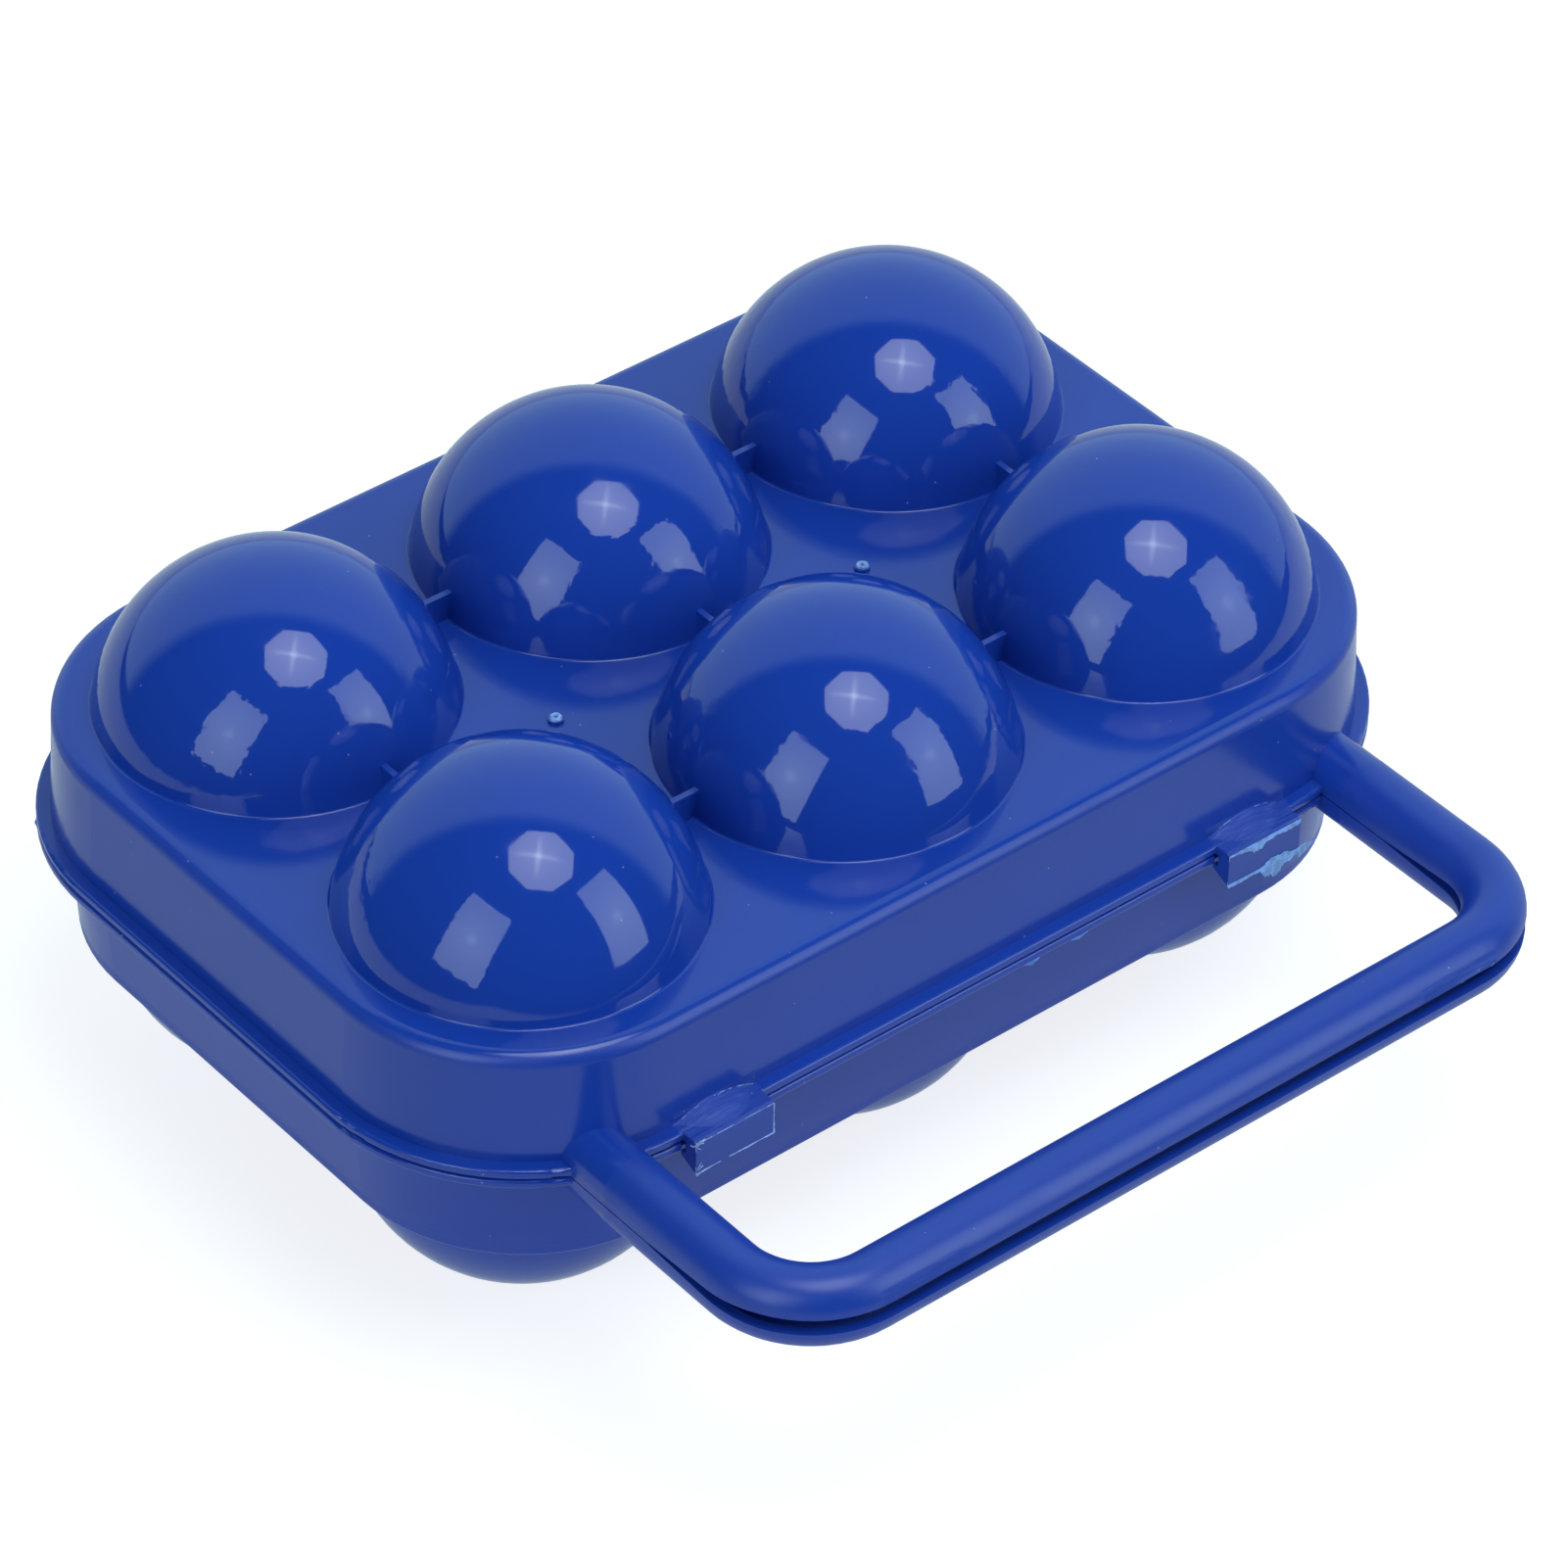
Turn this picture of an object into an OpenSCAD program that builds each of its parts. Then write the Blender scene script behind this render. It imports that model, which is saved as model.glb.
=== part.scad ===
// Carrying box for six eggs: a lid and a base, each moulded in one piece from thin glossy
// polypropylene. The halves turn on two snap hinges at the back and clip together at the front,
// where each half carries one half of the carrying handle. All sizes are in millimetres.

/* [Egg cups] */
// Distance between the centres of neighbouring cups
cup_pitch = 51; // [50:0.5:58]
// Number of cups along the box
cups_long = 3; // [2:1:5]
// Number of cups across the box
cups_wide = 2; // [1:1:4]
// Outer radius of the round caps on the lid
cap_r = 24; // [20:0.25:24.5]
// Height of the caps above the lid's top plate
cap_rise = 20.9; // [12:0.1:23]
// Outer radius of the cups under the base
cup_r = 23.2; // [20:0.1:24]
// Height of the cups' centres above the base's bottom plate
cup_lift = 1.8; // [0:0.1:6]
// Depth of the cups below the base's bottom plate, down to their flat feet
cup_depth = 19.2; // [10:0.1:20]

/* [Plates and walls] */
// Thickness of the moulded walls
wall = 1.6; // [1:0.1:2.4]
// Margin of the lid's top plate beyond the cup centres at the two ends
end_margin = 28.2; // [27.5:0.1:34]
// Margin of the lid's top plate beyond the cup centres at the front and back
side_margin = 29; // [28:0.1:34]
// Radius of the plate's corners, seen from above
corner_r = 27.9; // [16:0.1:28]
// Rounding of the edge between the lid's top plate and its walls
lid_edge_r = 2; // [0.5:0.1:4]
// Height of the lid's walls above its flange
lid_wall_h = 16.3; // [10:0.1:26]
// How far the lid's walls lean outwards over their height
lid_draft = 0.8; // [0.4:0.05:1.4]
// Rounding of the edge between the base's bottom plate and its walls
base_edge_r = 0.6; // [0.3:0.1:3]
// Height of the base's walls below its flange
base_wall_h = 15.7; // [10:0.1:26]
// How far the base's bottom plate stays inside the outline of the lid's top plate
base_inset = 2.1; // [1:0.05:4]
// How far the base's walls lean outwards over their height
base_draft = 1; // [0.4:0.05:2.5]

/* [Flanges] */
// How far both flanges reach beyond the outline of the lid's top plate
rim_reach = 2.7; // [2.2:0.1:5]
// Thickness of each flange
rim_t = 1.35; // [1:0.05:2]
// Rounding of the flange's outer edges
rim_edge_r = 0.45; // [0.2:0.05:0.45]
// Space between the two flanges when the box is shut
parting_gap = 0.2; // [0.1:0.05:0.6]

/* [Fins] */
// Thickness of the fins between neighbouring caps and cups
fin_t = 0.9; // [0.7:0.1:2]
// Height of the fins on the lid's top plate
lid_fin_h = 4; // [2:0.1:9]
// Height of the fins on the base's bottom plate
base_fin_h = 4; // [2:0.1:9]
// Radius of the moulding marks between the cups
gate_r = 1.1; // [0.6:0.1:2]
// Height of the moulding marks
gate_h = 0.4; // [0.2:0.1:0.8]

/* [Handle] */
// Distance between the centre lines of the handle's arms
handle_span = 122; // [112:0.5:128]
// Distance from the flange's front edge to the centre line of the grip
handle_reach = 34.6; // [24:0.1:50]
// Half the width of the handle's arms and grip
grip_r = 4.2; // [3:0.1:5]
// Height of each half of the handle from the parting plane
grip_h = 5.4; // [4.6:0.1:8]
// Wall of each half, which is an open channel
grip_wall = 1.4; // [1:0.1:2]
// Radius of the handle's corners at its centre line
bend_r = 12; // [8:0.5:20]
// Width of the slit between the two halves at the grip
grip_slit = 2.4; // [0.6:0.1:3]
// Distance from the flange's front edge to where the slit starts to open
slit_start = 11; // [0:0.5:18]

/* [Latches] */
// Distance between the centres of the two latches
latch_span = 88.2; // [60:0.1:100]
// Width of each latch tongue
latch_w = 12.4; // [8:0.1:18]
// How far the tongue's face stands out beyond the flange
latch_proud = 2.4; // [2:0.1:4]
// How far the tongue reaches below the base's flange
latch_drop = 2.3; // [1.6:0.1:4]
// Thickness of the tongue's front plate
latch_t = 1.5; // [1:0.1:2]
// Thickness of the tongue's two cheeks
cheek_t = 1.3; // [0.8:0.1:2]
// How far the lip at the tongue's foot reaches in past the flange's edge
lip_bite = 0.5; // [0.2:0.1:1]
// Thickness of the lip at its tip
lip_t = 0.7; // [0.4:0.1:1.2]
// Space kept between the tongue and the base
latch_gap = 0.3; // [0.2:0.05:0.5]
// Height of the swelling on the lid's wall above each tongue
swell_h = 1.5; // [0.5:0.1:3]

/* [Hinges] */
// Distance between the centres of the two hinges
hinge_span = 90; // [50:0.5:96]
// Width of the lid's hook, which turns on the base's pin
hook_w = 9; // [5:0.1:14]
// Outer radius of the hook and of the ears that hold the pin
knuckle_r = 3; // [2.6:0.1:4]
// Radius of the pin between the ears
pin_r = 1.5; // [1:0.1:1.6]
// Space between the pin and the hook's bore
pin_gap = 0.1; // [0.05:0.01:0.2]
// Thickness of each ear
ear_t = 2.2; // [1.5:0.1:4]
// Space at each side of the hook
side_gap = 0.4; // [0.2:0.1:1]
// Space between the knuckles and the flanges' edges
knuckle_gap = 0.3; // [0.2:0.05:1]
// Width of the hook's open mouth, seen from the pin's centre
mouth_deg = 100; // [60:5:120]

/* [Hidden] */
$fn = 72;
// A little extra length where one shape must pass through another
eps = 0.5;

// Centres of the cups, seen from above
cup_xs = [for (i = [0:cups_long - 1]) (i - (cups_long - 1) / 2) * cup_pitch];
cup_ys = [for (i = [0:cups_wide - 1]) (i - (cups_wide - 1) / 2) * cup_pitch];
// Outline of the lid's top plate, and the centres of its corners
plate_x = cup_xs[cups_long - 1] + end_margin;
plate_y = cup_ys[cups_wide - 1] + side_margin;
core_x = plate_x - corner_r;
core_y = plate_y - corner_r;
edge_y = plate_y + rim_reach;

// Heights above the surface that the box stands on
base_face_z = cup_depth + base_wall_h + rim_t;
lid_face_z = base_face_z + parting_gap;
// Heights of the plates above the parting face of their own half
lid_plate_h = rim_t + lid_wall_h;
base_plate_h = rim_t + base_wall_h;

// The handle, from the parting face of its own half
grip_y = -edge_y - handle_reach;
grip_top = grip_h - parting_gap / 2;
grip_mid = grip_top - grip_r;
slit_half = (grip_slit - parting_gap) / 2;

// The tongue, from the parting face of the lid
tongue_y = -edge_y - latch_proud;
base_under = parting_gap + rim_t;
lip_top = -base_under - latch_gap;
tongue_foot = -base_under - latch_drop;
notch_depth = lip_bite + latch_gap;

// The hinge line lies in the parting plane, behind the flanges
axis_y = edge_y + knuckle_gap + knuckle_r;
axis_h = -parting_gap / 2;
bore_r = pin_r + pin_gap;
ear_x = hook_w / 2 + side_gap;

// The box is moved along Y so that the middle of its whole length is the origin
body_y = (handle_reach + grip_r - knuckle_gap - 2 * knuckle_r) / 2;

// Sweeps a profile round the box: X of the profile runs outwards from the corner centres
module around() {
    for (sx = [-1, 1], sy = [-1, 1])
        translate([sx * core_x, sy * core_y, 0])
            rotate([0, 0, sx > 0 ? (sy > 0 ? 0 : 270) : (sy > 0 ? 90 : 180)])
                rotate_extrude(angle = 90)
                    children();
    for (s = [-1, 1]) {
        translate([0, s * core_y, 0])
            rotate([90, 0, s * 90])
                linear_extrude(2 * core_x, center = true)
                    children();
        translate([s * core_x, 0, 0])
            rotate([90, 0, s > 0 ? 0 : 180])
                linear_extrude(2 * core_y, center = true)
                    children();
    }
}

// Extrudes an outline in Y and Z along X, about its middle
module along_x(length) {
    rotate([90, 0, 90])
        linear_extrude(length, center = true)
            children();
}

// Section of one half's plate edge, wall and flange, with its parting face at height 0
module tray_section(wall_h, inset, draft, edge_r) {
    top = rim_t + wall_h;
    brim = corner_r + rim_reach;
    lean = atan(draft / wall_h);
    run = edge_r / tan((90 + lean) / 2);
    corner = corner_r - inset;
    polygon([
        [0, 0],
        [brim - rim_edge_r, 0],
        [brim, rim_edge_r],
        [brim, rim_t - rim_edge_r],
        [brim - rim_edge_r, rim_t],
        [corner + draft, rim_t],
        [corner + run * sin(lean), top - run * cos(lean)],
        [corner - run, top - edge_r],
        [corner - run, top],
        [0, top],
    ]);
    translate([corner - run, top - edge_r])
        circle(edge_r);
    for (h = [rim_edge_r, rim_t - rim_edge_r])
        translate([brim - rim_edge_r, h])
            circle(rim_edge_r);
}

// Section of the hollow inside the walls of one half
module hollow_section(wall_h, inset, draft) {
    top = rim_t + wall_h;
    slope = draft / wall_h;
    inner = corner_r - inset - wall;
    polygon([
        [0, -eps],
        [inner + slope * (top + eps), -eps],
        [inner + slope * wall, top - wall],
        [0, top - wall],
    ]);
}

// One half's body as a full block
module tray_block(wall_h, inset, draft, edge_r) {
    around()
        tray_section(wall_h, inset, draft, edge_r);
    translate([-core_x, -core_y, 0])
        cube([2 * core_x, 2 * core_y, rim_t + wall_h]);
}

// The hollow inside one half's walls
module tray_hollow(wall_h, inset, draft) {
    around()
        hollow_section(wall_h, inset, draft);
    translate([-core_x, -core_y, -eps])
        cube([2 * core_x, 2 * core_y, rim_t + wall_h - wall + eps]);
}

// A ball above every cup centre, from height low up to height high
module balls(r, centre_h, low, high) {
    for (x = cup_xs, y = cup_ys)
        intersection() {
            translate([x, y, centre_h])
                sphere(r);
            translate([x - r - eps, y - r - eps, low])
                cube([2 * (r + eps), 2 * (r + eps), high - low]);
        }
}

// Thin fins that join each cap or cup to its neighbours, on a plate at the given height
module fins(plate_h, fin_h) {
    for (i = [0:1:cups_long - 2], y = cup_ys)
        translate([cup_xs[i], y - fin_t / 2, plate_h - wall])
            cube([cup_pitch, fin_t, fin_h + wall]);
    for (x = cup_xs, i = [0:1:cups_wide - 2])
        translate([x - fin_t / 2, cup_ys[i], plate_h - wall])
            cube([fin_t, cup_pitch, fin_h + wall]);
}

// Small round marks that the moulding leaves between each four cups
module gate_marks(plate_h) {
    for (i = [0:1:cups_long - 2], k = [0:1:cups_wide - 2])
        translate([cup_xs[i] + cup_pitch / 2, cup_ys[k] + cup_pitch / 2, plate_h - wall])
            cylinder(h = wall + gate_h, r = gate_r);
}

// One moulded half with its parting face at height 0 and its caps or cups pointing up.
// The children are moulded on before the inside is hollowed out.
module half_shell(wall_h, inset, draft, edge_r, ball_r, ball_sink, reach, fin_h) {
    plate_h = rim_t + wall_h;
    difference() {
        union() {
            tray_block(wall_h, inset, draft, edge_r);
            balls(ball_r, plate_h - ball_sink, rim_t, plate_h + reach);
            fins(plate_h, fin_h);
            gate_marks(plate_h);
            children();
        }
        tray_hollow(wall_h, inset, draft);
        balls(ball_r - wall, plate_h - ball_sink, 0, plate_h + reach - wall);
    }
}

// Sweeps a section along the handle, from inside the wall round the grip and back
module along_handle() {
    for (s = [0, 1])
        mirror([s, 0, 0]) {
            translate([handle_span / 2, -core_y, 0])
                rotate([90, 0, 0])
                    linear_extrude(-grip_y - bend_r - core_y)
                        children();
            translate([handle_span / 2 - bend_r, grip_y + bend_r, 0])
                rotate([0, 0, 270])
                    rotate_extrude(angle = 90)
                        translate([bend_r, 0])
                            children();
        }
    translate([0, grip_y, 0])
        rotate([90, 0, -90])
            linear_extrude(handle_span - 2 * bend_r, center = true)
                children();
}

// Section of one half of the handle: a round back with straight sides, as wide as 2 * r
module grip_section(r, low) {
    intersection() {
        union() {
            translate([0, grip_mid])
                circle(r);
            translate([-r, low])
                square([2 * r, grip_mid - low]);
        }
        translate([-r, low])
            square([2 * r, grip_top - low]);
    }
}

// One half of the handle: an open channel whose edge draws back towards the grip
module handle_half() {
    difference() {
        along_handle()
            grip_section(grip_r, 0);
        along_handle()
            grip_section(grip_r - grip_wall, -eps);
        along_x(handle_span + 2 * (grip_r + eps))
            polygon([
                [-edge_y - slit_start, -eps],
                [-edge_y - slit_start, 0],
                [grip_y + grip_r, slit_half],
                [grip_y - grip_r - eps, slit_half],
                [grip_y - grip_r - eps, -eps],
            ]);
    }
}

// A latch tongue: a front plate between two cheeks, with a lip that catches below the base's
// flange, and a swelling on the wall that stiffens its root
module tongue() {
    back_y = -edge_y + 2 * rim_edge_r;
    free_y = -edge_y - latch_gap;
    tip_y = -edge_y + lip_bite;
    difference() {
        along_x(latch_w)
            polygon([
                [back_y, 0],
                [back_y, rim_t],
                [tongue_y + rim_edge_r, rim_t],
                [tongue_y, rim_t - rim_edge_r],
                [tongue_y, tongue_foot],
                [tip_y, lip_top - lip_t],
                [tip_y, lip_top],
                [free_y, lip_top],
                [free_y, 0],
            ]);
        translate([-latch_w / 2 + cheek_t, tongue_y + latch_t, lip_top])
            cube([latch_w - 2 * cheek_t, -tongue_y - latch_t, -lip_top]);
    }
    swelling();
}

// The lens-shaped swelling between the lid's wall and a tongue
module swelling() {
    half_w = latch_w / 2;
    wall_y = -plate_y - lid_draft;
    front_y = tongue_y + rim_edge_r;
    r = (half_w * half_w + swell_h * swell_h) / (2 * swell_h);
    slope = atan(swell_h / (wall_y - front_y));
    intersection() {
        translate([0, wall_y, rim_t + swell_h])
            rotate([slope, 0, 0])
                translate([0, 0, -r])
                    rotate([90, 0, 0])
                        cylinder(h = 6 * rim_reach, r = r, center = true);
        translate([-half_w, front_y, rim_t / 2])
            cube([latch_w, wall_y - front_y + wall / 2, rim_t / 2 + 2 * swell_h]);
    }
}

// The lid's half of a hinge: a hook round the base's pin, open at the back and below
module hook() {
    side = 3 * knuckle_r;
    difference() {
        union() {
            translate([0, axis_y, axis_h])
                rotate([0, 90, 0])
                    cylinder(h = hook_w, r = knuckle_r, center = true);
            along_x(hook_w)
                polygon([
                    [edge_y - 2 * rim_edge_r, 0],
                    [edge_y - 2 * rim_edge_r, rim_t],
                    [axis_y, rim_t],
                    [axis_y, 0],
                ]);
        }
        translate([0, axis_y, axis_h])
            rotate([0, 90, 0])
                cylinder(h = hook_w + 2 * eps, r = bore_r, center = true);
        translate([0, axis_y, axis_h])
            along_x(hook_w + 2 * eps)
                polygon([
                    [0, 0],
                    for (a = [-1, 0, 1]) side * [cos(a * mouth_deg / 2 - 45), sin(a * mouth_deg / 2 - 45)],
                ]);
    }
}

// The base's half of a hinge: two ears and the pin between them
module ears() {
    root_y = plate_y - base_inset + base_draft - wall / 2;
    for (s = [-1, 1])
        translate([s * (ear_x + ear_t / 2), 0, 0]) {
            translate([0, axis_y, axis_h])
                rotate([0, 90, 0])
                    cylinder(h = ear_t, r = knuckle_r, center = true);
            along_x(ear_t)
                polygon([
                    [root_y, rim_t / 2],
                    [edge_y - 2 * rim_edge_r, rim_t / 2],
                    [edge_y - 2 * rim_edge_r, 0],
                    [axis_y, 0],
                    [axis_y, knuckle_r + axis_h],
                    [root_y, knuckle_r + axis_h + rim_reach],
                ]);
        }
    translate([0, axis_y, axis_h])
        rotate([0, 90, 0])
            cylinder(h = 2 * ear_x + ear_t, r = pin_r, center = true);
}

// The base: the tray with the egg cups, the lower half of the handle and the hinge pins
module base() {
    color([0.1, 0.2, 0.64])
        translate([0, body_y, base_face_z])
            mirror([0, 0, 1])
                difference() {
                    half_shell(base_wall_h, base_inset, base_draft, base_edge_r,
                               cup_r, cup_lift, cup_depth, base_fin_h) {
                        handle_half();
                        for (s = [-1, 1])
                            translate([s * hinge_span / 2, 0, 0])
                                ears();
                    }
                    for (s = [-1, 1])
                        translate([s * latch_span / 2 - latch_w / 2 - latch_gap, -edge_y - eps, -eps])
                            cube([latch_w + 2 * latch_gap, notch_depth + eps, rim_t + 2 * eps]);
                }
}

// The lid: the cover with the round caps, the upper half of the handle, tongues and hooks
module lid() {
    color([0.11, 0.23, 0.67])
        translate([0, body_y, lid_face_z])
            half_shell(lid_wall_h, 0, lid_draft, lid_edge_r,
                       cap_r, cap_r - cap_rise, 2 * cap_rise, lid_fin_h) {
                handle_half();
                for (s = [-1, 1]) {
                    translate([s * latch_span / 2, 0, 0])
                        tongue();
                    translate([s * hinge_span / 2, 0, 0])
                        hook();
                }
            }
}

base();
lid();
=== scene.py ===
"""Dresses the egg box: the finish of its two mouldings, the marks that moulding and use left on them,
and the floor, the studio light and the camera."""
import math

import bmesh
import bpy
from mathutils import Matrix, Vector, noise


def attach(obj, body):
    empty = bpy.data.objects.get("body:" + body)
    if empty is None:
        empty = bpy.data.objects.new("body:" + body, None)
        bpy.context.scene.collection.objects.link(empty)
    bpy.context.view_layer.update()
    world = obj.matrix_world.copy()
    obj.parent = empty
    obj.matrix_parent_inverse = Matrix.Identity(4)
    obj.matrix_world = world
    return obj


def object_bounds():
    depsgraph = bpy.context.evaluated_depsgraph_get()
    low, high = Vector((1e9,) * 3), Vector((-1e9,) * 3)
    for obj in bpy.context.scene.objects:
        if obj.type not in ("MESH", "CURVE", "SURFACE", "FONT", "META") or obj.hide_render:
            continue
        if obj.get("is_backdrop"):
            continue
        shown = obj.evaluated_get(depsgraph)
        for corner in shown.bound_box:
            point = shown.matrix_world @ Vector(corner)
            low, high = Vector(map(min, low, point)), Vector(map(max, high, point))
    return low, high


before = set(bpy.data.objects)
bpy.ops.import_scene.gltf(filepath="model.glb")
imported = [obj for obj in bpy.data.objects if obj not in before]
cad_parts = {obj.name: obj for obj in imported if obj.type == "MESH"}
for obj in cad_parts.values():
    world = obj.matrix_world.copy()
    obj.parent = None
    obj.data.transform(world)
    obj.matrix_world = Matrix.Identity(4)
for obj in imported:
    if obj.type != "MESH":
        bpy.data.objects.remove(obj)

bl_info = {
    "name": "Egg box dressing",
    "version": (1, 0, 0),
    "blender": (4, 5, 0),
    "location": "3D View > Sidebar > Egg box",
    "description": "Finishes, moulding marks and studio for a hinged egg box",
    "category": "Object",
}

MM = 0.001
# The level direction from the camera's side of the box to the white paper behind it
AWAY = (0.647, 0.763, 0.0)
WHITE = (1.0, 1.0, 1.0, 1.0)


def linear(hex_colour):
    """The linear colour of an sRGB hex value."""
    parts = [int(hex_colour[i:i + 2], 16) / 255 for i in (1, 3, 5)]
    return tuple(c / 12.92 if c <= 0.04045 else ((c + 0.055) / 1.055) ** 2.4 for c in parts)


def rgba(colour, gain=1.0):
    """A colour as the four numbers that a node's socket takes."""
    return (*(c * gain for c in colour), 1.0)


def size(name, text, millimetres):
    """A property that holds a length."""
    return bpy.props.FloatProperty(
        name=name, description=text, default=millimetres * MM, precision=5, unit="LENGTH")


def tint(name, text, hex_colour):
    """A property that holds a colour, given as sRGB hex."""
    return bpy.props.FloatVectorProperty(
        name=name, description=text, default=linear(hex_colour), subtype="COLOR", size=3, min=0, max=1)


def amount(name, text, default):
    """A property that holds a plain number."""
    return bpy.props.FloatProperty(name=name, description=text, default=default, min=0)


class EggBoxForm(bpy.types.PropertyGroup):
    """The sizes of the mouldings that their marks are placed by."""
    cup_pitch: size("Cup pitch", "Distance between neighbouring cups", 51)
    body_y: size("Body middle", "Y of the middle between the two rows of cups", 16.25)
    plate_z: size("Lid plate", "Height of the lid's top plate", 54.1)
    cap_r: size("Cap radius", "Radius of the round caps on the lid", 24)
    cap_sink: size("Cap sink", "How far the caps' centres lie below the lid's plate", 3.1)
    base_plate_z: size("Base plate", "Height of the base's bottom plate", 19.2)
    cup_r: size("Cup radius", "Radius of the cups under the base", 23.2)
    cup_lift: size("Cup lift", "How far the cups' centres lie above the base's bottom plate", 1.8)
    fillet_r: size("Foot fillet", "Radius of the fillet at the foot of each cap and cup", 0.4)
    gate_h: size("Gate height", "Height of the moulding marks between the cups", 0.4)
    front_y: size("Flange front", "Y of the flanges' front edge", -40.95)
    flange_x: size("Flange end", "X of the flanges' right end", 81.9)
    corner_r: size("Flange corner", "Radius of the flanges' corners", 30.6)
    parting_z: size("Parting plane", "Height of the lid's parting face", 36.45)
    flange_t: size("Flange", "Thickness of each flange", 1.35)
    parting_gap: size("Parting gap", "Space between the two flanges", 0.2)
    latch_x: size("Latch", "Distance from the middle of the box to the middle of a latch", 44.1)
    latch_w: size("Latch width", "Width of each latch tongue", 12.4)
    latch_proud: size("Latch proud", "How far the tongue's face stands out beyond the flange", 2.4)
    latch_foot: size("Latch foot", "How far the tongue reaches below the lid's parting face", 3.85)
    swell_h: size("Swelling", "Height of the swelling above each tongue", 1.5)
    grip_y: size("Grip", "Y of the grip's centre line", -75.55)
    grip_r: size("Grip radius", "Half the width of the grip", 4.2)
    slit_half: size("Slit", "How far the grip's slit reaches above the lid's parting face", 1.1)
    gate_ring_r: size("Gate ring", "Radius of the torn ring on each moulding mark", 0.52)
    gate_bead_r: size("Gate bead", "Radius of the torn ring's section", 0.36)


class EggBoxFinish(bpy.types.PropertyGroup):
    """The colours and the gloss of the plastic."""
    lid_blue: tint("Lid blue", "Polypropylene of the lid", "#193da0")
    base_blue: tint("Base blue", "Polypropylene of the base", "#173ca3")
    thin_blue: tint("Thin blue", "Thin flash, where light passes through", "#86b6fa")
    gate_blue: tint("Gate blue", "Broken ends of the gates, which have gone pale", "#94bbff")
    film_blue: tint("Film blue", "Low flash along the base's flange, nearly as deep as the body", "#5f93ea")
    chalk_blue: tint("Chalk blue", "Bruised edges, which have gone pale", "#a6c4fb")
    scraped_blue: tint("Scraped blue", "Streaks above the latches, where they are palest", "#7c99e1")
    dust: tint("Dust", "Specks of dust on the gloss", "#a0adcb")
    polish: amount("Polish", "Roughness of the domes, from the polished part of the mould", 0.05)
    dull: amount("Dull plates", "How much rougher the plates and all below them are", 0.05)
    plain: amount("Plain walls", "How much rougher still the walls and flanges are", 0.07)
    satin: amount("Satin edge", "How much rougher still the lid's rounded edge is", 0.26)
    worn: amount("Worn handle", "How much rougher still the handle is, from hands", 0.25)
    smear: amount("Smears", "How much rougher the plastic is where it is smeared", 0.12)
    scrape: amount("Scrapes", "How much rougher the scraped plastic above the latches is", 0.4)


class EggBoxStudio(bpy.types.PropertyGroup):
    """The light on the box."""
    key: amount("Octagonal lamp", "Brightness of the lamp overhead", 4.5)
    side: amount("Upright lamps", "Brightness of the two upright lamps", 3.25)
    key_tint: tint("Octagonal lamp's colour", "Light of the lamp overhead", "#f2fbff")
    side_tint: tint("Upright lamps' colour", "Light of the two upright lamps", "#dff5ff")
    paper_tint: tint("White paper's colour", "Light of the white paper behind the box", "#cbf0ff")
    floor_tint: tint("Floor's colour", "Light of the floor, as the box sees it", "#e7faff")
    paper: amount("White paper", "Brightness of the white paper behind the box", 1.0)
    room: amount("Room", "Brightness of the room behind the camera", 0.03)
    floor_grey: amount("Floor's grey", "Share of the lamps' light that the floor returns", 0.36)
    felt_floor: amount("Felt floor", "Glow of the floor, as the box sees it", 0.36)
    seen_floor: amount("Seen floor", "Glow of the floor, as the camera sees it", 0.79)


def node(tree, kind, inputs=None, give=None, **settings):
    """Adds one node with its settings and links, and returns one of its outputs: the one that give names, or
    else the first in use. Inputs maps an input's name or number to a value, to another node's output, or to
    None, which leaves it as it is."""
    new = tree.nodes.new(kind)
    for name, value in settings.items():
        setattr(new, name, value)
    for key, value in (inputs or {}).items():
        if isinstance(value, bpy.types.NodeSocket):
            tree.links.new(value, new.inputs[key])
        elif value is not None:
            new.inputs[key].default_value = value
    if give:
        return new.outputs[give]
    return next((output for output in new.outputs if output.enabled), None)


def mask(tree, *edges, most=1.0):
    """Where a finish or a light shows, with soft edges. Each edge is (value, none, full): nothing shows where
    the value is at none, and most where every value is at full."""
    share = most
    for value, none, full in edges:
        share = node(tree, "ShaderNodeMapRange", {0: value, 1: none, 2: full, 4: share},
                     interpolation_type="SMOOTHSTEP")
    return share


def new_material(name):
    """An empty node material and its tree."""
    material = bpy.data.materials.new(name)
    material.use_nodes = True
    material.node_tree.nodes.clear()
    return material, material.node_tree


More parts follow.
